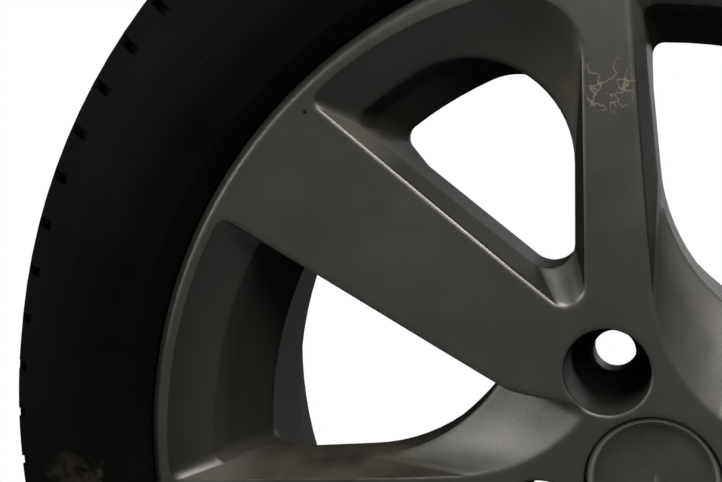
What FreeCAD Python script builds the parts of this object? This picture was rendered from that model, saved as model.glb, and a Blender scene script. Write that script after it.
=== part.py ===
"""Cast alloy road wheel with its tyre, snap-in valve, centre cap and balance weights.

Millimetres. The wheel spins about Y and its outer face looks towards -Y. Z is up.
"front" below means the distance towards -Y from the middle plane of the rim.
"""
import FreeCAD, Part
import math
import os
import re
import Sketcher

DIMENSIONS = {
    # Rim, to the 16 x 6 J pattern
    "rim_width": 152.4, "flange_depth": 11.8, "bead_seat_radius": 202.6, "flange_height": 16.4,
    "lip_bevel": 3.5, "lip_inner_radius": 211.5, "flange_bevel": 4.5, "bead_heel_round": 6.0,
    "bead_seat_width": 20.2, "bead_seat_drop": 1.3, "hump_height": 0.9, "hump_width": 4.0,
    "hump_run": 3.0, "well_radius": 184.0, "well_front": 32.0, "well_back": -12.0,
    "well_wall_top": 45.0, "well_ramp_end": -40.0, "barrel_radius": 177.5, "barrel_wall": 5.0,
    "barrel_rear_radius": 195.0, "rear_lip_inner_radius": 200.0, "rear_lip_chamfer": 8.0,
    # Dished rim front seen through the windows: radius and depth behind the lip
    "ridge_radius": 193.0, "ridge_depth": 10.0, "step_radius": 188.0, "step_depth": 25.0,
    "throat_radius": 175.0, "throat_depth": 40.0,
    # Hub
    "hub_rise": 9.0, "hub_offset": 52.0, "hub_bore_radius": 27.05, "hub_pad_radius": 71.0,
    "pad_step": 3.0, "spoke_back_inner": 60.0, "spoke_back_inner_radius": 86.0,
    "spoke_back_outer": 58.0, "spoke_back_radius": 158.0, "web_root": 40.0,
    "cap_recess_radius": 28.5, "cap_recess_depth": 20.0, "bore_lead_in": 2.0,
    # Windows and spokes: points on the spoke edges as radius and angle
    "quarters": 4, "edge_radius": 200.0, "face_level": 10.0, "cut_end": 80.0,
    "wide_upper_face_angle": 132.7, "wide_upper_back_angle": 131.4,
    "narrow_left_face_angle": 97.9, "narrow_left_back_angle": 99.9,
    "vee_face_radius": 69.0, "vee_face_angle": 113.4, "vee_back_radius": 80.5, "vee_back_angle": 115.0,
    "vee_face_round": 7.5, "vee_back_round": 11.0,
    "dish_face_round": 18.0, "dish_ridge_round": 43.0, "dish_step_round": 34.0, "dish_throat_round": 27.0,
    "window_corner_round": 5.0,
    "wide_lower_face_angle": 149.4, "wide_lower_back_angle": 150.6,
    "narrow_right_face_angle": 184.3, "narrow_right_back_angle": 182.4,
    "bend_face_radius": 66.0, "bend_face_angle": 147.9, "bend_face_round": 20.0,
    "bend_back_radius": 96.0, "bend_back_angle": 150.7, "bend_back_round": 60.0,
    "scoop_tip_radius": 37.0, "scoop_tip_angle": 125.5, "scoop_tip_round": 4.0,
    "scoop_end_radius": 74.2, "scoop_end_angle": 148.1, "scoop_end_round": 3.0,
    "scoop_face_radius": 47.0, "scoop_face_angle": 178.2, "scoop_face_round": 68.0,
    "scoop_back_radius": 87.2, "scoop_back_angle": 178.0, "scoop_back_round": 78.0,
    # Wheel bolts
    "bolt_circle": 100.0, "bolt_angle": 112.5, "bolt_pocket_radius": 18.0, "bolt_floor_radius": 16.5,
    "bolt_hole_radius": 9.0, "bolt_seat_radius": 11.5, "bolt_seat_height": 4.0, "bolt_land": 10.0,
    # Hollows behind the wide spokes
    "hollow_depth": 16.0, "hollow_inner_radius": 98.0, "hollow_outer_radius": 156.0,
    "hollow_round": 6.0, "hollow_inner_low": 145.0, "hollow_inner_high": 127.0,
    "hollow_outer_low": 146.0, "hollow_outer_high": 135.0,
    # Tyre, 195/50 R16
    "tyre_radius": 300.5, "tyre_half_width": 98.5, "tyre_wide_radius": 246.0, "crown_drop": 2.6,
    "crown_half_width": 48.0, "tread_edge_front": 70.0, "tread_edge_drop": 11.5, "shoulder_front": 84.5,
    "shoulder_radius": 282.0, "upper_wall_front": 95.0, "upper_wall_radius": 264.0,
    "protector_front": 92.0, "protector_radius": 226.5, "bead_gap": 0.25, "bead_top_gap": 1.2,
    "tyre_wall": 8.0, "tread_thickness": 14.0, "bead_width": 18.0, "side_round": 24.0, "shoulder_round": 18.0,
    "groove_depth": 7.0, "groove_width": 9.0, "inner_groove_front": 14.0, "outer_groove_front": 44.0,
    "shoulder_slots": 80, "slot_width": 4.5, "slot_start": 5.0, "slot_lean": 12.0, "slot_inner_front": 54.0,
    "slot_inner_floor": 290.5, "slot_outer_floor": 274.0,
    # Centre cap and its spring ring
    "cap_fit": 0.45, "cap_sink": 4.5, "cap_face_sink": 1.2, "cap_rim_width": 4.6, "cap_dome": 0.8,
    "cap_thickness": 3.5, "cap_skirt_radius": 27.4, "cap_skirt_wall": 1.8, "cap_skirt_length": 10.0,
    "cap_edge_round": 1.2, "cap_claws": 8, "cap_claw_gap": 6.0, "cap_slot_length": 8.0,
    "ring_wire_radius": 0.9, "ring_set_back": 3.0, "ring_fit": 0.1,
    # Valve
    "valve_angle": 257.0, "valve_hole_radius": 5.75, "valve_wall": 4.5, "valve_spot_radius": 9.5, "valve_spot_reach": 40.0,
    "valve_bulb_radius": 8.2, "valve_bulb_length": 7.0, "valve_collar_radius": 7.3, "valve_collar_length": 5.0,
    "valve_neck_radius": 5.3, "valve_rubber_length": 22.0, "valve_stem_radius": 3.85, "valve_stem_bore": 2.6,
    "valve_stem_tail": 9.0, "valve_stem_length": 32.0, "valve_fit": 0.1, "valve_seat_gap": 0.3,
    "valve_core_length": 20.0, "valve_pin_radius": 0.8, "valve_pin_length": 1.5, "valve_core_sink": 2.0,
    "valve_cap_radius": 5.1, "valve_cap_length": 12.5, "valve_cap_start": 23.0, "valve_cap_round": 1.2,
    "valve_cap_floor": 2.0, "valve_grips": 12, "valve_grip_depth": 0.5,
    # Balance weights stuck inside the barrel
    "weight_angle": 28.0, "weight_count": 6, "weight_pitch": 4.7, "weight_gap": 0.5, "weight_width": 18.0,
    "weight_thickness": 3.6, "weight_web": 0.8, "tape_thickness": 0.9, "tape_fit": 0.05, "weight_front": 12.0,
}

doc = FreeCAD.newDocument("road_wheel")
sheet = doc.addObject("Spreadsheet::Sheet", "dims")
for row, (alias, size) in enumerate(DIMENSIONS.items(), start=1):
    sheet.set("A%d" % row, alias)
    sheet.set("B%d" % row, str(size))
    sheet.setAlias("B%d" % row, alias)
doc.recompute()

# Sizes that follow from the ones above
LIP = "(rim_width / 2 + flange_depth)"
FLANGE = "(bead_seat_radius + flange_height)"
DOME = "((lip_inner_radius ^ 2 + hub_rise ^ 2) / (2 * hub_rise))"


def full(expression):
    """Expression with each named size pointed at the sheet."""
    return re.sub(r"[a-z]\w*", lambda m: "dims." + m.group(0) if m.group(0) in DIMENSIONS else m.group(0),
                  str(expression))


def num(expression):
    """Present value of an expression."""
    value = sheet.evalExpression(full(expression))
    return float(getattr(value, "Value", value))


def polar(radius, angle):
    """Pair of expressions for a point at a radius and an angle in degrees."""
    return "(%s) * cos((%s) * 1 deg)" % (radius, angle), "(%s) * sin((%s) * 1 deg)" % (radius, angle)


def dome_front(radius):
    """Front position of the domed face at a radius."""
    return "(%s + hub_rise - %s + sqrt(%s ^ 2 - (%s) ^ 2))" % (LIP, DOME, DOME, radius)


def new_body(name):
    body = doc.addObject("PartDesign::Body", name)
    body.Label = name
    return body


def origin_part(body, role):
    return [f for f in body.Origin.OriginFeatures if f.Role == role][0]


def new_sketch(body, role, offset=None):
    sketch = body.newObject("Sketcher::SketchObject", body.Name + "_sketch")
    sketch.AttachmentSupport = [(origin_part(body, role), "")]
    sketch.MapMode = "FlatFace"
    if offset is not None:
        sketch.setExpression("AttachmentOffset.Base.z", full(offset))
    return sketch


def fix(sketch, kind, *args):
    """Adds a measured constraint whose size is the expression given last."""
    index = sketch.addConstraint(Sketcher.Constraint(kind, *args[:-1], num(args[-1])))
    sketch.setExpression("Constraints[%d]" % index, full(args[-1]))


def unit(a, b):
    return (b - a).normalize()


def line_corner(before, corner, after, radius):
    """Tangent points and centre of a round between two straight edges."""
    one, two = unit(corner, before), unit(corner, after)
    half = one.getAngle(two) / 2
    reach = radius / math.tan(half)
    middle = (one + two).normalize() * (radius / math.sin(half))
    return corner + one * reach, corner + two * reach, corner + middle


def ring_corner(inner, outer, inside, ring, radius):
    """Tangent points and centre of a round between a straight edge and a ring about the axis."""
    along = unit(inner, outer)
    side = FreeCAD.Vector(-along.y, along.x, 0)
    if side.dot(inside - inner) < 0:
        side = side * -1
    start = inner + side * radius
    reach = start.dot(along)
    step = -reach + math.sqrt(reach ** 2 - start.Length ** 2 + (ring - radius) ** 2)
    centre = start + along * step
    return centre - side * radius, centre * (ring / centre.Length), centre


def add_arc(sketch, centre, start, end, left_turn):
    """Arc from start to end. Returns its index and which of its ends is the start."""
    first, last = (start, end) if left_turn else (end, start)
    a0 = math.atan2(first.y - centre.y, first.x - centre.x)
    a1 = math.atan2(last.y - centre.y, last.x - centre.x)
    if a1 <= a0:
        a1 += 2 * math.pi
    circle = Part.Circle(centre, FreeCAD.Vector(0, 0, 1), (first - centre).Length)
    index = sketch.addGeometry(Part.ArcOfCircle(circle, a0, a1))
    return (index, 1, 2) if left_turn else (index, 2, 1)


def outline(sketch, corners, ring=None):
    """Closed outline through corners (x, y, round or None), in order, each bound to its sizes.

    With a ring radius, the last edge is an arc about the axis, and the first and last corner points
    only steer their straight edges.
    """
    count = len(corners)
    points = [FreeCAD.Vector(num(x), num(y), 0) for x, y, _ in corners]
    inside = FreeCAD.Vector()
    for point in points:
        inside += point * (1.0 / count)
    arrive, leave, centres = [], [], []
    for i, (_, _, rounding) in enumerate(corners):
        before, here, after = points[i - 1], points[i], points[(i + 1) % count]
        if rounding is None:
            a, b, c = here, here, None
        elif ring and i == 0:
            b, a, c = ring_corner(after, here, inside, num(ring), num(rounding))
        elif ring and i == count - 1:
            a, b, c = ring_corner(before, here, inside, num(ring), num(rounding))
        else:
            a, b, c = line_corner(before, here, after, num(rounding))
        arrive.append(a)
        leave.append(b)
        centres.append(c)
    edges = []
    for i in range(count):
        here, there = leave[i], arrive[(i + 1) % count]
        if ring and i == count - 1:
            turn = (here.x * there.y - here.y * there.x) > 0
            edges.append(add_arc(sketch, FreeCAD.Vector(), here, there, turn))
            sketch.addConstraint(Sketcher.Constraint("Coincident", edges[-1][0], 3, -1, 1))
            fix(sketch, "Radius", edges[-1][0], ring)
        else:
            edges.append((sketch.addGeometry(Part.LineSegment(here, there)), 1, 2))
    for i, (x, y, rounding) in enumerate(corners):
        into, out = edges[i - 1], edges[i]
        steers = ring and i in (0, count - 1)
        if rounding is None:
            sketch.addConstraint(Sketcher.Constraint("Coincident", into[0], into[2], out[0], out[1]))
            fix(sketch, "DistanceX", out[0], out[1], x)
            if y == "0":
                sketch.addConstraint(Sketcher.Constraint("PointOnObject", out[0], out[1], -1))
            else:
                fix(sketch, "DistanceY", out[0], out[1], y)
            continue
        mark = sketch.addGeometry(Part.Point(points[i]), True)
        fix(sketch, "DistanceX", mark, 1, x)
        fix(sketch, "DistanceY", mark, 1, y)
        if not (steers and i == 0):
            sketch.addConstraint(Sketcher.Constraint("PointOnObject", mark, 1, into[0]))
        if not (steers and i == count - 1):
            sketch.addConstraint(Sketcher.Constraint("PointOnObject", mark, 1, out[0]))
        a, b, c = arrive[i], leave[i], centres[i]
        turn = ((a - c).x * (b - c).y - (a - c).y * (b - c).x) > 0
        arc = add_arc(sketch, c, a, b, turn)
        sketch.addConstraint(Sketcher.Constraint("Tangent", into[0], into[2], arc[0], arc[1]))
        sketch.addConstraint(Sketcher.Constraint("Tangent", arc[0], arc[2], out[0], out[1]))
        fix(sketch, "Radius", arc[0], rounding)


def circle(sketch, x, y, radius):
    index = sketch.addGeometry(Part.Circle(FreeCAD.Vector(num(x), num(y), 0), FreeCAD.Vector(0, 0, 1), num(radius)))
    if x == "0":
        sketch.addConstraint(Sketcher.Constraint("PointOnObject", index, 3, -2))
    else:
        fix(sketch, "DistanceX", index, 3, x)
    fix(sketch, "DistanceY", index, 3, y)
    fix(sketch, "Radius", index, radius)


def feature(body, kind, **settings):
    """Adds a feature to a body and makes it the tip."""
    made = body.newObject("PartDesign::" + kind, body.Name + "_" + kind.lower())
    for key, setting in settings.items():
        setattr(made, key, setting)
    body.Tip = made
    doc.recompute()
    return made


def spin(body, points, kind="Revolution"):
    """Turned shape about Y from (front, radius, round) points."""
    sketch = new_sketch(body, "YZ_Plane")
    outline(sketch, [("-(%s)" % front, radius, rounding) for front, radius, rounding in points])
    return feature(body, kind, Profile=sketch, ReferenceAxis=(sketch, ["H_Axis"]), Angle=360.0)


def ring_copies(body, originals, count, spread="360"):
    """Copies of cuts spread about Y."""
    made = body.newObject("PartDesign::PolarPattern", body.Name + "_pattern")
    made.Originals = originals
    made.Axis = (origin_part(body, "Y_Axis"), [""])
    made.setExpression("Angle", full(spread))
    made.setExpression("Occurrences", full(count))
    body.Tip = made
    doc.recompute()
    return made


def window(body, levels):
    """Cut lofted through outlines given as (front, corners, ring)."""
    sketches = []
    for front, corners, ring in levels:
        sketch = new_sketch(body, "XZ_Plane", front)
        outline(sketch, corners, ring)
        sketches.append(sketch)
    doc.recompute()
    return feature(body, "SubtractiveLoft", Profile=sketches[0], Sections=sketches[1:], Ruled=True)


def build_wheel():
    wheel = new_body("alloy_wheel")
    half = "rim_width / 2"
    seat_in = "(%s - bead_seat_width)" % half
    hump = "(bead_seat_radius - bead_seat_drop + hump_height)"
    seat_low = "(bead_seat_radius - bead_seat_drop)"
    rear_lip = "-%s" % LIP
    bore_front = "(%s - cap_recess_depth)" % dome_front("cap_recess_radius")
    profile = [
        (dome_front("cap_recess_radius"), "cap_recess_radius", None),
        (dome_front("lip_inner_radius / 2"), "lip_inner_radius / 2", None),
        (LIP, "lip_inner_radius", None),
        (LIP, FLANGE + " - lip_bevel", None),
        (LIP + " - lip_bevel", FLANGE, None),
        (half + " + flange_bevel", FLANGE, None),
        (half, FLANGE + " - flange_bevel", None),
        (half, "bead_seat_radius", "bead_heel_round"),
        (seat_in, seat_low, None),
        ("%s - hump_run" % seat_in, hump, None),
        ("%s - hump_run - hump_width" % seat_in, hump, None),
        ("well_wall_top", "%s - hump_height" % seat_low, None),
        ("well_front", "well_radius", "bead_heel_round"),
        ("well_back", "well_radius", "bead_heel_round"),
        ("well_ramp_end", seat_low, None),
        ("hump_run + hump_width - %s" % seat_in, hump, None),
        ("hump_run - %s" % seat_in, hump, None),
        ("-%s" % seat_in, seat_low, None),
        ("-%s" % half, "bead_seat_radius", "bead_heel_round"),
        ("-%s" % half, FLANGE + " - flange_bevel", None),
        ("-%s - flange_bevel" % half, FLANGE, None),
        (rear_lip + " + lip_bevel", FLANGE, None),
        (rear_lip, FLANGE + " - lip_bevel", None),
        (rear_lip, "rear_lip_inner_radius", None),
        ("rear_lip_chamfer - %s" % LIP, "barrel_rear_radius", None),
        ("well_ramp_end - barrel_wall", "barrel_rear_radius", "bead_heel_round"),
        ("well_back", "barrel_radius", "bead_heel_round"),
        ("web_root", "barrel_radius", None),
        ("spoke_back_outer", "spoke_back_radius", None),
        ("spoke_back_inner", "spoke_back_inner_radius", None),
        ("hub_offset - pad_step", "hub_pad_radius + pad_step", None),
        ("hub_offset", "hub_pad_radius", None),
        ("hub_offset", "hub_bore_radius + bore_lead_in", None),
        ("hub_offset + bore_lead_in", "hub_bore_radius", None),
        (bore_front, "hub_bore_radius", None),
        (bore_front, "cap_recess_radius", None),
    ]
    blank = spin(wheel, profile)

    top = "(%s + face_level)" % LIP
    ridge = "(%s - ridge_depth)" % LIP
    flare = "(lip_inner_radius + (lip_inner_radius - ridge_radius) * face_level / ridge_depth)"
    depths = [
        (top, flare), (ridge, "ridge_radius"), ("%s - step_depth" % LIP, "step_radius"),
        ("%s - throat_depth" % LIP, "throat_radius"), ("%s - cut_end" % LIP, "throat_radius"),
    ]
    rounds = ["dish_face_round", "dish_ridge_round", "dish_step_round", "dish_throat_round", "dish_throat_round"]
    small, large = [], []
    for (front, ring), rounding in zip(depths, rounds):
        side = "face" if front == top else "back"
        tip = "tip" if front == top else "end"
        small.append((front, [
            (*polar("edge_radius", "narrow_left_%s_angle" % side), rounding),
            (*polar("vee_%s_radius" % side, "vee_%s_angle" % side), "vee_%s_round" % side),
            (*polar("edge_radius", "wide_upper_%s_angle" % side), "window_corner_round"),
        ], ring))
        large.append((front, [
            (*polar("edge_radius", "wide_lower_%s_angle" % side), "window_corner_round"),
            (*polar("bend_%s_radius" % side, "bend_%s_angle" % side), "bend_%s_round" % side),
            (*polar("scoop_%s_radius" % tip, "scoop_%s_angle" % tip), "scoop_%s_round" % tip),
            (*polar("scoop_%s_radius" % side, "scoop_%s_angle" % side), "scoop_%s_round" % side),
            (*polar("edge_radius", "narrow_right_%s_angle" % side), "window_corner_round"),
        ], ring))
    cuts = [window(wheel, small), window(wheel, large)]

    # Wheel-bolt pocket with its cone seat and hole
    floor = "(hub_offset + bolt_land + bolt_seat_height)"
    middle = polar("bolt_circle / 2", "bolt_angle")
    rear = "(hub_offset - face_level)"
    for steps in ([(top, "bolt_pocket_radius"), (floor, "bolt_floor_radius")],
                  [(floor, "bolt_seat_radius"), ("hub_offset + bolt_land", "bolt_hole_radius")],
                  [(floor, "bolt_hole_radius"), (rear, "bolt_hole_radius")]):
        sketches = []
        for front, radius in steps:
            sketches.append(new_sketch(wheel, "XZ_Plane", front))
            circle(sketches[-1], *middle, radius)
        doc.recompute()
        cuts.append(feature(wheel, "SubtractiveLoft", Profile=sketches[0], Sections=sketches[1:], Ruled=True))

    # Hollow in the back of the wide spoke
    hollow = new_sketch(wheel, "XZ_Plane", "spoke_back_inner + hollow_depth")
    outline(hollow, [
        (*polar("hollow_inner_radius", "hollow_inner_high"), "hollow_round"),
        (*polar("hollow_outer_radius", "hollow_outer_high"), "hollow_round"),
        (*polar("hollow_outer_radius", "hollow_outer_low"), "hollow_round"),
        (*polar("hollow_inner_radius", "hollow_inner_low"), "hollow_round"),
    ])
    doc.recompute()
    cuts.append(feature(wheel, "Pocket", Profile=hollow, Length=num("hollow_depth + spoke_back_inner")))
    cuts[-1].setExpression("Length", full("hollow_depth + spoke_back_inner"))
    ring_copies(wheel, cuts, "quarters")

    # Valve hole, spot-faced on the tyre side
    seat, aim = valve_seat()
    for start, reach, radius in (("face_level", "face_level * 4", "valve_hole_radius"),
                                 ("-valve_wall", "valve_spot_reach", "valve_spot_radius")):
        drill = wheel.newObject("PartDesign::SubtractiveCylinder", "valve_drill")
        drill.setExpression("Radius", full(radius))
        drill.setExpression("Height", full(reach))
        drill.Placement = FreeCAD.Placement(seat + aim * num(start), FreeCAD.Rotation(FreeCAD.Vector(0, 0, -1), aim))
        wheel.Tip = drill
    doc.recompute()
    return wheel


def valve_seat():
    """Point on the rim where the valve sits, and the way the valve points."""
    angle = math.radians(num("valve_angle"))
    out = FreeCAD.Vector(math.cos(angle), 0, math.sin(angle))
    front = FreeCAD.Vector(0, -1, 0)
    seat = out * num("(step_radius + throat_radius) / 2") + front * num("%s - (step_depth + throat_depth) / 2" % LIP)
    aim = front * num("step_radius - throat_radius") - out * num("throat_depth - step_depth")
    return seat, aim.normalize()


def build_tyre():
    tyre = new_body("tyre")
    half = "(rim_width / 2 - bead_gap)"
    toe = "(%s - bead_width)" % half

    def crown(front):
        return "tyre_radius - crown_drop * ((%s) / crown_half_width) ^ 2" % front

    bead = "bead_seat_radius - bead_seat_drop * bead_width / bead_seat_width + bead_gap"
    edge = "tyre_radius - tread_edge_drop"
    side = [
        (toe, bead, None),
        (half, "bead_seat_radius + bead_gap", "bead_heel_round"),
        (half, FLANGE + " + bead_top_gap", "flange_bevel"),
        ("%s + flange_depth - lip_bevel" % half, FLANGE + " + bead_top_gap", None),
        ("protector_front", "protector_radius", "side_round / 4"),
        ("tyre_half_width", "tyre_wide_radius", "side_round"),
        ("upper_wall_front", "upper_wall_radius", "side_round"),
        ("shoulder_front", "shoulder_radius", "shoulder_round"),
        ("tread_edge_front", edge, None),
    ]
    for middle in ("outer_groove_front", "inner_groove_front"):
        wide, near = "(%s + groove_width / 2)" % middle, "(%s - groove_width / 2)" % middle
        side += [(wide, crown(wide), None), (wide, crown(wide) + " - groove_depth", None),
                 (near, crown(wide) + " - groove_depth", None), (near, crown(near), None)]
    cavity = [
        ("tread_edge_front", edge + " - tread_thickness", None),
        ("upper_wall_front - tyre_wall", "upper_wall_radius", None),
        ("tyre_half_width - tyre_wall", "tyre_wide_radius - tyre_wall", None),
        (toe, FLANGE, None),
    ]
    back = [("-(%s)" % front, radius, rounding) for front, radius, rounding in reversed(side)]
    inner = [("-(%s)" % front, radius, rounding) for front, radius, rounding in reversed(cavity)]
    spin(tyre, side + back + inner + cavity)

    # Cross slots over both shoulders
    cuts = []
    for sign in ("", "-"):
        sketches = []
        for front, floor, middle in (("slot_inner_front", "slot_inner_floor", "slot_start"),
                                     ("tyre_half_width", "slot_outer_floor", "(slot_start + slot_lean)")):
            sketch = new_sketch(tyre, "XZ_Plane", sign + front)
            low, high = "%s - slot_width / 2" % middle, "%s + slot_width / 2" % middle
            outline(sketch, [(low, floor, None), (high, floor, None),
                             (high, "tyre_radius + slot_width", None), (low, "tyre_radius + slot_width", None)])
            sketches.append(sketch)
        doc.recompute()
        cuts.append(feature(tyre, "SubtractiveLoft", Profile=sketches[0], Sections=sketches[1:], Ruled=True))
    ring_copies(tyre, cuts, "shoulder_slots")
    return tyre


def build_cap():
    """Bare push-in cap with a raised border and a claw skirt."""
    cap = new_body("centre_cap")
    top = "(%s - cap_sink)" % dome_front("cap_recess_radius")
    outer = "(cap_recess_radius - cap_fit)"
    face = "(%s - cap_face_sink)" % top
    under = "(%s - cap_thickness)" % face
    end = "(%s - cap_skirt_length)" % under
    spin(cap, [
        (face + " + cap_dome", "0", None),
        (face, outer + " - cap_rim_width", None),
        (top, outer + " - cap_rim_width + cap_face_sink / 2", None),
        (top, outer, "cap_edge_round"),
        (under, outer, None),
        (under, "cap_skirt_radius", None),
        (end, "cap_skirt_radius", None),
        (end, "cap_skirt_radius - cap_skirt_wall", None),
        (under, "cap_skirt_radius - cap_skirt_wall", None),
        (under, "0", None),
    ])
    slot = new_sketch(cap, "XZ_Plane", end)
    outline(slot, [("-cap_claw_gap / 2", "cap_skirt_radius - cap_claw_gap", None),
                   ("cap_claw_gap / 2", "cap_skirt_radius - cap_claw_gap", None),
                   ("cap_claw_gap / 2", "cap_recess_radius", None), ("-cap_claw_gap / 2", "cap_recess_radius", None)])
    doc.recompute()
    cut = feature(cap, "Pocket", Profile=slot, Length=num("cap_slot_length"), Reversed=True)
    cut.setExpression("Length", full("cap_slot_length"))
    ring_copies(cap, [cut], "cap_claws")
    return cap


def build_spring_ring():
    """Wire ring that spreads the claws of the cap."""
    ring = doc.addObject("Part::Torus", "cap_spring_ring")
    ring.Label = "cap_spring_ring"
    ring.setExpression("Radius1", full("cap_skirt_radius - cap_skirt_wall - ring_wire_radius - ring_fit"))
    ring.setExpression("Radius2", full("ring_wire_radius"))
    end = "%s - cap_sink - cap_face_sink - cap_thickness - cap_skirt_length" % dome_front("cap_recess_radius")
    ring.Placement = FreeCAD.Placement(FreeCAD.Vector(0, -num(end + " + ring_set_back"), 0),
                                       FreeCAD.Rotation(FreeCAD.Vector(1, 0, 0), 90))
    return ring


def build_valve():
    """Snap-in valve: rubber body, brass stem, core and screw cap, all turned about one line."""
    seat, aim = valve_seat()
    place = FreeCAD.Placement(seat, FreeCAD.Rotation(FreeCAD.Vector(0, -1, 0), aim))
    bulb = "-(valve_wall + valve_bulb_length)"
    stem_hole = "(valve_stem_radius + valve_fit)"
    rubber = new_body("valve_rubber_body")
    spin(rubber, [
        (bulb, stem_hole, None), (bulb, "valve_bulb_radius - valve_wall / 3", None),
        ("-valve_wall - valve_fit", "valve_bulb_radius", None), ("-valve_wall - valve_fit", "valve_hole_radius - valve_fit", None),
        ("valve_seat_gap", "valve_hole_radius - valve_fit", None), ("valve_seat_gap", "valve_collar_radius", None),
        ("valve_collar_length", "valve_collar_radius", None), ("valve_rubber_length", "valve_neck_radius", None),
        ("valve_rubber_length", stem_hole, None),
    ])
    stem = new_body("valve_brass_stem")
    tail = "-(valve_wall + valve_stem_tail)"
    spin(stem, [(tail, "valve_stem_bore", None), (tail, "valve_stem_radius", None),
                ("valve_stem_length", "valve_stem_radius", "valve_fit * 4"), ("valve_stem_length", "valve_stem_bore", None)])
    core = new_body("valve_core")
    tip = "(valve_stem_length - valve_core_sink)"
    core_radius = "(valve_stem_bore - valve_fit)"
    spin(core, [("%s - valve_core_length" % tip, "0", None), ("%s - valve_core_length" % tip, core_radius, None),
                (tip, core_radius, None), (tip, "valve_pin_radius", None),
                ("%s + valve_pin_length" % tip, "valve_pin_radius", None), ("%s + valve_pin_length" % tip, "0", None)])
    cap = new_body("valve_cap")
    end = "(valve_cap_start + valve_cap_length)"
    spin(cap, [("valve_cap_start", stem_hole, None), ("valve_cap_start", "valve_cap_radius", None),
               (end, "valve_cap_radius", "valve_cap_round"), (end, "0", None),
               (end + " - valve_cap_floor", "0", None), (end + " - valve_cap_floor", stem_hole, None)])
    grip = new_sketch(cap, "XZ_Plane", "valve_cap_start")
    circle(grip, "0", "valve_cap_radius + valve_grip_depth", "valve_grip_depth * 2")
    doc.recompute()
    cut = feature(cap, "Pocket", Profile=grip, Length=num("valve_cap_length - valve_cap_round * 2"), Reversed=True)
    cut.setExpression("Length", full("valve_cap_length - valve_cap_round * 2"))
    ring_copies(cap, [cut], "valve_grips")
    pieces = [rubber, stem, core, cap]
    for piece in pieces:
        piece.Placement = place
    return pieces


def strip(name, inner, outer):
    """Part of a ring inside the barrel, as wide as the weights and as long as their row."""
    body = new_body(name)
    sketch = new_sketch(body, "YZ_Plane")
    rear, front = "-(weight_front - weight_width / 2)", "-(weight_front + weight_width / 2)"
    outline(sketch, [(rear, inner, None), (front, inner, None), (front, outer, None), (rear, outer, None)])
    made = feature(body, "Revolution", Profile=sketch, ReferenceAxis=(sketch, ["H_Axis"]),
                   Angle=num("weight_count * weight_pitch"))
    made.setExpression("Angle", full("weight_count * weight_pitch"))
    body.Placement = FreeCAD.Placement(FreeCAD.Vector(), FreeCAD.Rotation(FreeCAD.Vector(0, 1, 0), num("weight_angle")))
    return body


def build_weights():
    """Row of stick-on steel weights and the tape under them."""
    outer = "barrel_radius - tape_fit"
    tape = strip("balance_weight_tape", outer + " - tape_thickness", outer)
    under = outer + " - tape_thickness - tape_fit"
    weights = strip("balance_weights", under + " - weight_thickness", under)
    notch = new_sketch(weights, "YZ_Plane")
    rear, front = "-(weight_front - weight_width)", "-(weight_front + weight_width)"
    low, high = under + " - weight_thickness * 2", under + " - weight_web"
    outline(notch, [(rear, low, None), (front, low, None), (front, high, None), (rear, high, None)])
    cut = feature(weights, "Groove", Profile=notch, ReferenceAxis=(notch, ["H_Axis"]), Angle=num("weight_gap"))
    cut.setExpression("Angle", full("weight_gap"))
    ring_copies(weights, [cut], "weight_count", "weight_pitch * (weight_count - 1)")
    return [tape, weights]


pieces = [build_wheel(), build_tyre(), build_cap(), build_spring_ring(), *build_valve(), *build_weights()]
doc.recompute()
for obj in doc.Objects:
    if "Invalid" in obj.State or "Error" in obj.State:
        raise RuntimeError("%s did not build: %s" % (obj.Name, obj.State))
os.makedirs("parts", exist_ok=True)
for piece in pieces:
    if piece.Shape.isNull() or not piece.Shape.isValid():
        raise RuntimeError(piece.Label + " is not a sound solid")
    piece.Shape.exportStep("parts/%s.step" % piece.Label)
    print(piece.Label, round(piece.Shape.Volume / 1000, 2), "cm3", len(piece.Shape.Solids), "solid")
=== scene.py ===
"""Looks of the alloy road wheel: worn grey wheel paint with painted shade in its hollows and on its
walls, black tyre, bare cap with a painted highlight on its rim bead, valve and weights.
"""

import math

import bpy
from mathutils import Matrix, Vector


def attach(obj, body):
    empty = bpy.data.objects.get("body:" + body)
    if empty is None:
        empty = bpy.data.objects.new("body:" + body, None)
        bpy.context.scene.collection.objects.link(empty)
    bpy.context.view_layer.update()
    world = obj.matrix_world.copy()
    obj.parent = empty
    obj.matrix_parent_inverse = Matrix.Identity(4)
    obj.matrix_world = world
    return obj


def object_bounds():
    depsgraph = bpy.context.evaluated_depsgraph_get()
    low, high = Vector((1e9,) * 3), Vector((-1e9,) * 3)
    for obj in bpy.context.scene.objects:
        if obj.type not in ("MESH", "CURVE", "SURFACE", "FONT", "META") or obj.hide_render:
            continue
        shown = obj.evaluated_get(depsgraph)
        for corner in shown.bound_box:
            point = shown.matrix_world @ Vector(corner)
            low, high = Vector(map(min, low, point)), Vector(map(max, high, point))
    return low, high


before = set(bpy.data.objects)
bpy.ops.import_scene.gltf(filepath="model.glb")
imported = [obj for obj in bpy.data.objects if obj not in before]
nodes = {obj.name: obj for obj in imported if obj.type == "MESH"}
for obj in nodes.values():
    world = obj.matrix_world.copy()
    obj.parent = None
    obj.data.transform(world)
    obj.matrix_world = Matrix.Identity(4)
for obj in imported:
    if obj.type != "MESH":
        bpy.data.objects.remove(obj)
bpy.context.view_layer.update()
scene = bpy.context.scene

BLACK = (0, 0, 0, 1)
WHITE = (1, 1, 1, 1)

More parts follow.
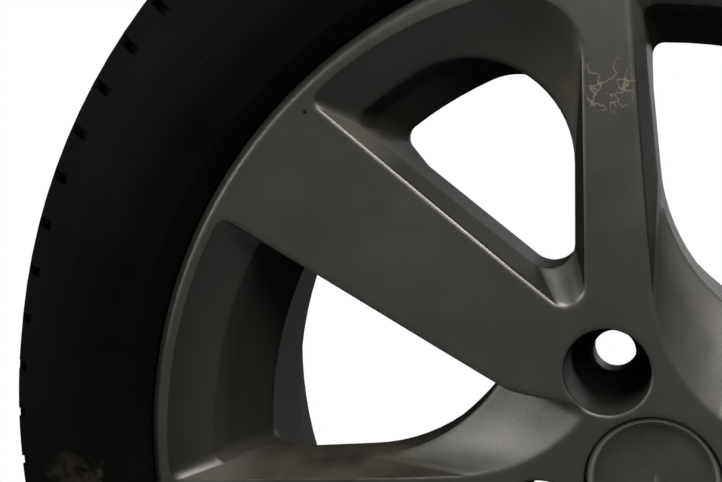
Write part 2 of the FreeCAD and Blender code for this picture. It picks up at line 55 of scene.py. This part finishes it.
# Places on the part in metres. The axle lies along Y and the face looks towards -Y.
FACE_Y = -0.088
BOLT_CIRCLE_RADIUS = 0.05
BOLT_COUNT = 4
FIRST_BOLT_ANGLE = 112.5
POCKET_REACH = 0.0186
SPOKE_FADE = (0.165, 0.185)
BLISTERS_AT = (-0.0195, -0.092, 0.162)
CHIP_AT = (-0.1445, -0.088, 0.1505)
DISH_DIRT_AT = (-0.037, -0.084, 0.160)
SPOKE_DIRT_AT = (-0.13, -0.078, 0.0)
TYRE_MUD_AT = (-0.252, -0.09, -0.012)
TYRE_SPECK_AT = (-0.2165, -0.094, 0.1035)
SIDE_RIBS_FROM = (0.2485, 0.2495)
BEAD_RADIUS = 0.0263
BEAD_THICKNESS = 0.0015

# Sharp edges of the CAD are shaded as rounds of these radii
WHEEL_EDGE = 0.004
SMALL_EDGE = 0.0006
UNEVEN_HEIGHT = 0.0005

# Ramps take 0 to 1, so depth behind the face is scaled; ribs are in radians per metre
DEPTH_SCALE = 25.0
RIB_RATE = 2100.0

# Stage: a floor just under the tyre, and how bright the world is seen and how much it lights
FLOOR_SIZE = (1.7, 1.25, 1.0)
FLOOR_Y = -0.15
FLOOR_DROP = 0.0005
WORLD_SEEN = 1.0
WORLD_LIGHT = 0.12

# Camera of the photo, from the circles on the wheel
PHOTO_WIDTH = 722.0
FOCAL_PIXELS = 1780.0
SENSOR = 36.0
CAMERA_AT = (0.04609, FACE_Y - 0.70718, 0.24362)
CAMERA_AHEAD = (-0.22671, 0.95352, -0.19848)
CAMERA_UP = (-0.02303, 0.19848, 0.97983)


def linear(value):
    """Linear value of an 8-bit screen colour channel."""
    v = value / 255.0
    return v / 12.92 if v <= 0.04045 else ((v + 0.055) / 1.055) ** 2.4


def colour(r, g, b):
    return (linear(r), linear(g), linear(b), 1.0)


def grey(value):
    return (value, value, value, 1.0)


class Nodes:
    """A new material, with short calls that add and join its shader nodes."""

    def __init__(self, name):
        self.material = bpy.data.materials.new(name)
        self.material.use_nodes = True
        self.tree = self.material.node_tree
        self.shader = self.tree.nodes["Principled BSDF"]
        self.coords = self.tree.nodes.new("ShaderNodeTexCoord").outputs["Object"]

    def add(self, kind, **settings):
        node = self.tree.nodes.new(kind)
        for key, value in settings.items():
            if hasattr(node, key):
                setattr(node, key, value)
            else:
                node.inputs[key].default_value = value
        return node

    def join(self, out, into):
        self.tree.links.new(out, into)

    def shade(self, socket, value):
        """Set a socket of the shader from another node or to one number."""
        if isinstance(value, float):
            self.shader.inputs[socket].default_value = value
        else:
            self.join(value, self.shader.inputs[socket])

    def noise(self, scale, detail=4.0):
        node = self.add("ShaderNodeTexNoise", Scale=scale, Detail=detail, Roughness=0.55)
        self.join(self.coords, node.inputs["Vector"])
        return node.outputs["Fac"]

    def ramp(self, value, low, high, first=BLACK, last=WHITE):
        node = self.add("ShaderNodeValToRGB")
        start, end = node.color_ramp.elements
        start.position = low
        end.position = high
        start.color = first
        end.color = last
        self.join(value, node.inputs["Fac"])
        return node.outputs["Color"]

    def fall(self, value, low, high):
        """1 up to the low value, then down to 0 at the high one."""
        return self.ramp(value, low, high, WHITE, BLACK)

    def mix(self, factor, first, last):
        node = self.add("ShaderNodeMix", data_type="RGBA")
        self.join(factor, node.inputs[0])
        for socket, value in ((node.inputs[6], first), (node.inputs[7], last)):
            if isinstance(value, tuple):
                socket.default_value = value
            else:
                self.join(value, socket)
        return node.outputs[2]

    def math(self, operation, first, second=0.0):
        node = self.add("ShaderNodeMath", operation=operation)
        for socket, value in zip(node.inputs, (first, second)):
            if isinstance(value, (int, float)):
                socket.default_value = value
            else:
                self.join(value, socket)
        return node.outputs[0]

    def times(self, first, second):
        return self.math("MULTIPLY", first, second)

    def coat(self, paint, mask, strength, tone):
        """Paint with another tone over it where the mask is 1."""
        return self.mix(self.times(mask, strength), paint, tone)

    def vector(self, operation, first, second=None):
        node = self.add("ShaderNodeVectorMath", operation=operation)
        self.join(first, node.inputs[0])
        if isinstance(second, tuple):
            node.inputs[1].default_value = second
        elif second is not None:
            self.join(second, node.inputs[1])
        return node.outputs

    def axis(self, vector, name):
        node = self.add("ShaderNodeSeparateXYZ")
        self.join(vector, node.inputs[0])
        return node.outputs[name]

    def across(self):
        """Place in the part with its depth left out, seen along the axle."""
        return self.vector("MULTIPLY", self.coords, (1.0, 0.0, 1.0))[0]

    def near(self, point, radius, ragged=0.0, start=0.75, place=None):
        """1 near a point in the part, fading to 0 at a radius, with a ragged edge."""
        distance = self.vector("DISTANCE", place or self.coords, point)["Value"]
        if ragged:
            distance = self.math("ADD", distance, self.times(self.noise(180.0), ragged))
        return self.fall(self.math("DIVIDE", distance, radius), start, 1.0)

    def bump(self, height, strength, edge=0.0):
        """Uneven surface, over edges that are shaded as rounds."""
        node = self.add("ShaderNodeBump", Strength=strength, Distance=UNEVEN_HEIGHT)
        self.join(height, node.inputs["Height"])
        if edge:
            soft = self.add("ShaderNodeBevel", samples=12, Radius=edge)
            self.join(soft.outputs["Normal"], node.inputs["Normal"])
        self.join(node.outputs["Normal"], self.shader.inputs["Normal"])


def bolt_pockets(n):
    """1 inside the bolt pockets."""
    pockets = 0.0
    for bolt in range(BOLT_COUNT):
        angle = math.radians(FIRST_BOLT_ANGLE + 90.0 * bolt)
        middle = (BOLT_CIRCLE_RADIUS * math.cos(angle), 0.0, BOLT_CIRCLE_RADIUS * math.sin(angle))
        inside = n.near(middle, POCKET_REACH, start=0.96, place=n.across())
        pockets = n.math("MAXIMUM", pockets, inside)
    return pockets


def wheel_paint():
    n = Nodes("worn_paint_and_painted_shade")
    base = n.ramp(n.noise(9.0), 0.3, 0.75, colour(59, 58, 54), colour(71, 69, 65))
    grime = n.ramp(n.noise(22.0, 8.0), 0.52, 0.8)
    paint = n.coat(base, grime, 0.3, colour(46, 42, 36))

    # Painted shade: darker and matt behind the face, in the bolt pockets and on walls along the axle
    depth = n.math("ADD", n.axis(n.coords, "Y"), -FACE_Y)
    painted_shade_mask = n.ramp(n.times(depth, DEPTH_SCALE), 0.05, 0.6)
    pockets = bolt_pockets(n)
    painted_shade_mask = n.math("MAXIMUM", painted_shade_mask, pockets)
    facing = n.add("ShaderNodeNewGeometry").outputs["Normal"]
    walls = n.fall(n.math("ABSOLUTE", n.axis(facing, "Y")), 0.34, 0.5)
    painted_shade_mask = n.math("MAXIMUM", painted_shade_mask, walls)
    paint = n.coat(paint, painted_shade_mask, 0.8, colour(36, 34, 30))

    # Painted shade also darkens what faces the axle, such as the dished rim side and the lip's inner
    # slope
    outward = n.vector("NORMALIZE", n.across())[0]
    tilt = n.vector("DOT_PRODUCT", outward, facing)["Value"]
    axle_facing_shade = n.ramp(n.times(tilt, -1.0), 0.02, 0.24)
    paint = n.coat(paint, axle_facing_shade, 0.76, colour(27, 25, 22))

    # Painted shade makes the bolt pockets and the walls of the spokes nearly black
    radius = n.vector("LENGTH", n.across())["Value"]
    spokes = n.fall(radius, *SPOKE_FADE)
    pocket_and_wall_shade = n.math("MAXIMUM", pockets, n.times(walls, spokes))
    paint = n.coat(paint, pocket_and_wall_shade, 0.85, colour(12, 11, 9))

    # Lifted lacquer on the narrow spoke, a chip on the wide one, dirt on the dish and lower spoke
    outlines = n.math("ABSOLUTE", n.math("SUBTRACT", n.noise(120.0, 2.0), 0.5))
    lifted = n.times(n.near(BLISTERS_AT, 0.018, 0.012), n.fall(outlines, 0.01, 0.022))
    paint = n.mix(lifted, paint, colour(100, 94, 83))
    paint = n.mix(n.near(CHIP_AT, 0.0016, 0.001), paint, colour(20, 19, 18))
    paint = n.coat(paint, n.near(DISH_DIRT_AT, 0.014, 0.016), 0.45, colour(70, 54, 38))
    dirt = n.times(n.near(SPOKE_DIRT_AT, 0.065, 0.03), n.ramp(n.noise(45.0, 6.0), 0.36, 0.6))
    paint = n.coat(paint, dirt, 0.6, colour(40, 36, 28))
    n.shade("Base Color", paint)

    # Matt where the shade is painted, with a metallic gloss elsewhere
    gloss = n.ramp(n.noise(60.0), 0.2, 0.8, grey(0.28), grey(0.4))
    n.shade("Roughness", n.mix(painted_shade_mask, gloss, grey(0.75)))
    outside_painted_shade = n.math("SUBTRACT", 1.0, n.times(painted_shade_mask, 0.95))
    n.shade("Metallic", n.times(outside_painted_shade, 0.75))
    n.shade("Coat Weight", n.times(outside_painted_shade, 0.15))
    n.shade("Specular IOR Level", n.times(outside_painted_shade, 0.4))
    n.shade("Coat Roughness", 0.3)
    height = n.math("ADD", n.noise(900.0, 2.0), n.times(lifted, 4.0))
    n.bump(height, 0.06, WHEEL_EDGE)
    return n.material


def tyre_rubber():
    n = Nodes("tyre_rubber")
    base = n.ramp(n.noise(14.0, 6.0), 0.3, 0.8, colour(4, 4, 3), colour(7, 7, 6))
    mud = n.times(n.near(TYRE_MUD_AT, 0.03, 0.03), n.ramp(n.noise(60.0, 6.0), 0.35, 0.7))
    base = n.mix(mud, base, colour(34, 30, 25))
    base = n.mix(n.near(TYRE_SPECK_AT, 0.0014, 0.0006), base, colour(120, 112, 100))
    n.shade("Base Color", base)
    n.shade("Roughness", n.ramp(n.noise(40.0), 0.2, 0.8, grey(0.6), grey(0.8)))
    n.shade("Specular IOR Level", 0.01)
    # Fine ribs round the outer part of the side wall
    radius = n.vector("LENGTH", n.across())["Value"]
    ribs = n.times(n.math("SINE", n.times(radius, RIB_RATE)), n.ramp(radius, *SIDE_RIBS_FROM))
    n.bump(n.math("ADD", n.times(ribs, 0.35), n.noise(500.0, 3.0)), 0.25)
    return n.material


def plain(name, first, last, rough, metallic=0.0, edge=SMALL_EDGE):
    """Material with two close tones, a little uneven."""
    n = Nodes(name)
    n.shade("Base Color", n.ramp(n.noise(30.0), 0.3, 0.75, first, last))
    n.shade("Roughness", n.ramp(n.noise(60.0), 0.2, 0.8, grey(rough - 0.06), grey(rough + 0.06)))
    n.shade("Metallic", metallic)
    n.bump(n.noise(600.0), 0.05, edge)
    return n.material


def dress(name, material):
    obj = nodes[name]
    obj.data.materials.clear()
    obj.data.materials.append(material)


dress("alloy_wheel", wheel_paint())
dress("tyre", tyre_rubber())
dress("centre_cap", plain("cap_paint", colour(64, 62, 58), colour(76, 74, 70), 0.3, 0.7))
dress("cap_spring_ring", plain("spring_wire", colour(150, 150, 148), colour(176, 175, 172), 0.35, 0.9))
dress("valve_rubber_body", plain("valve_rubber", colour(24, 24, 23), colour(34, 33, 32), 0.7))
dress("valve_brass_stem", plain("brass", colour(150, 122, 66), colour(176, 146, 84), 0.4, 0.9))
dress("valve_core", plain("core_brass", colour(160, 130, 70), colour(182, 150, 88), 0.4, 0.9))
dress("valve_cap", plain("cap_plastic", colour(24, 24, 25), colour(36, 36, 37), 0.5))
dress("balance_weights", plain("weight_steel", colour(128, 128, 126), colour(152, 151, 148), 0.42, 0.8))
dress("balance_weight_tape", plain("foam_tape", colour(40, 40, 40), colour(56, 56, 55), 0.8))

# Round bead on the cap's raised rim, painted lighter than the cap as a painted highlight
cap = nodes["centre_cap"]
cap_front = min((cap.matrix_world @ v.co).y for v in cap.data.vertices)
bpy.ops.mesh.primitive_torus_add(
    location=(0.0, cap_front, 0.0), rotation=(math.pi / 2, 0.0, 0.0),
    major_radius=BEAD_RADIUS, minor_radius=BEAD_THICKNESS, major_segments=128, minor_segments=16)
bead = bpy.context.object
bead.name = "cap_rim_bead"
bead.data.polygons.foreach_set("use_smooth", [True] * len(bead.data.polygons))
bead_highlight_paint = plain("bead_highlight_paint", colour(104, 101, 95), colour(120, 117, 110), 0.32, 0.7, edge=0.0)
bead.data.materials.append(bead_highlight_paint)
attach(bead, "root")


def floor_white():
    """Pale floor that fades out towards its edge, so that only the shadow shows."""
    n = Nodes("floor_white")
    pale = n.ramp(n.noise(2.0), 0.3, 0.7, grey(0.8), grey(0.82))
    # Darker to all but the camera, so that the floor doesn't light the dished rim side
    seen = n.add("ShaderNodeLightPath").outputs["Is Camera Ray"]
    n.shade("Base Color", n.mix(seen, grey(0.15), pale))
    n.shade("Roughness", 0.9)
    blend = n.add("ShaderNodeMixShader")
    n.join(n.ramp(n.vector("LENGTH", n.coords)["Value"], 0.3, 0.5), blend.inputs[0])
    n.join(n.shader.outputs[0], blend.inputs[1])
    n.join(n.add("ShaderNodeBsdfTransparent").outputs[0], blend.inputs[2])
    n.join(blend.outputs[0], n.tree.nodes["Material Output"].inputs["Surface"])
    return n.material


# Floor just under the tyre
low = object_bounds()[0].z
bpy.ops.mesh.primitive_plane_add(size=1.0, location=(0, FLOOR_Y, low - FLOOR_DROP))
floor = bpy.context.object
floor.name = "floor"
floor.scale = FLOOR_SIZE
floor.data.materials.append(floor_white())

# White all around for the camera, and a faint light from all sides
world = bpy.data.worlds.new("studio")
scene.world = world
world.use_nodes = True
tree = world.node_tree
back = tree.nodes["Background"]
back.inputs["Color"].default_value = WHITE
path = tree.nodes.new("ShaderNodeLightPath")
mix = tree.nodes.new("ShaderNodeMix")
mix.data_type = "FLOAT"
mix.inputs[2].default_value = WORLD_LIGHT
mix.inputs[3].default_value = WORLD_SEEN
tree.links.new(path.outputs["Is Camera Ray"], mix.inputs[0])
tree.links.new(mix.outputs[0], back.inputs["Strength"])


def lamp(name, location, target, size, energy):
    data = bpy.data.lights.new(name, "AREA")
    data.shape = "RECTANGLE"
    data.size, data.size_y = size
    data.energy = energy
    obj = bpy.data.objects.new(name, data)
    scene.collection.objects.link(obj)
    obj.location = location
    obj.rotation_mode = "QUATERNION"
    obj.rotation_quaternion = (Vector(target) - Vector(location)).to_track_quat("-Z", "Y")


lamp("top", (0.12, -0.5, 1.3), (-0.05, -0.09, 0.05), (1.3, 0.5), 58.0)
lamp("left", (-1.35, -0.5, 0.5), (-0.05, -0.09, 0.05), (0.5, 0.8), 20.0)
lamp("near", (0.16, -0.5, 0.5), (0.0, -0.09, 0.16), (0.3, 0.3), 6.0)
lamp("rear", (0.6, 1.3, 0.3), (0.0, 0.05, 0.0), (0.8, 0.6), 32.0)

# Camera as in the photo
camera = bpy.data.cameras.new("photo")
camera.sensor_width = SENSOR
camera.lens = FOCAL_PIXELS / PHOTO_WIDTH * SENSOR
camera.clip_start, camera.clip_end = 0.01, 50.0
eye = bpy.data.objects.new("photo", camera)
scene.collection.objects.link(eye)
ahead = Vector(CAMERA_AHEAD).normalized()
side = ahead.cross(Vector(CAMERA_UP)).normalized()
up = side.cross(ahead)
turn = Matrix((side, up, -ahead)).transposed().to_4x4()
eye.matrix_world = Matrix.Translation(CAMERA_AT) @ turn
scene.camera = eye
scene.view_settings.view_transform = "Standard"
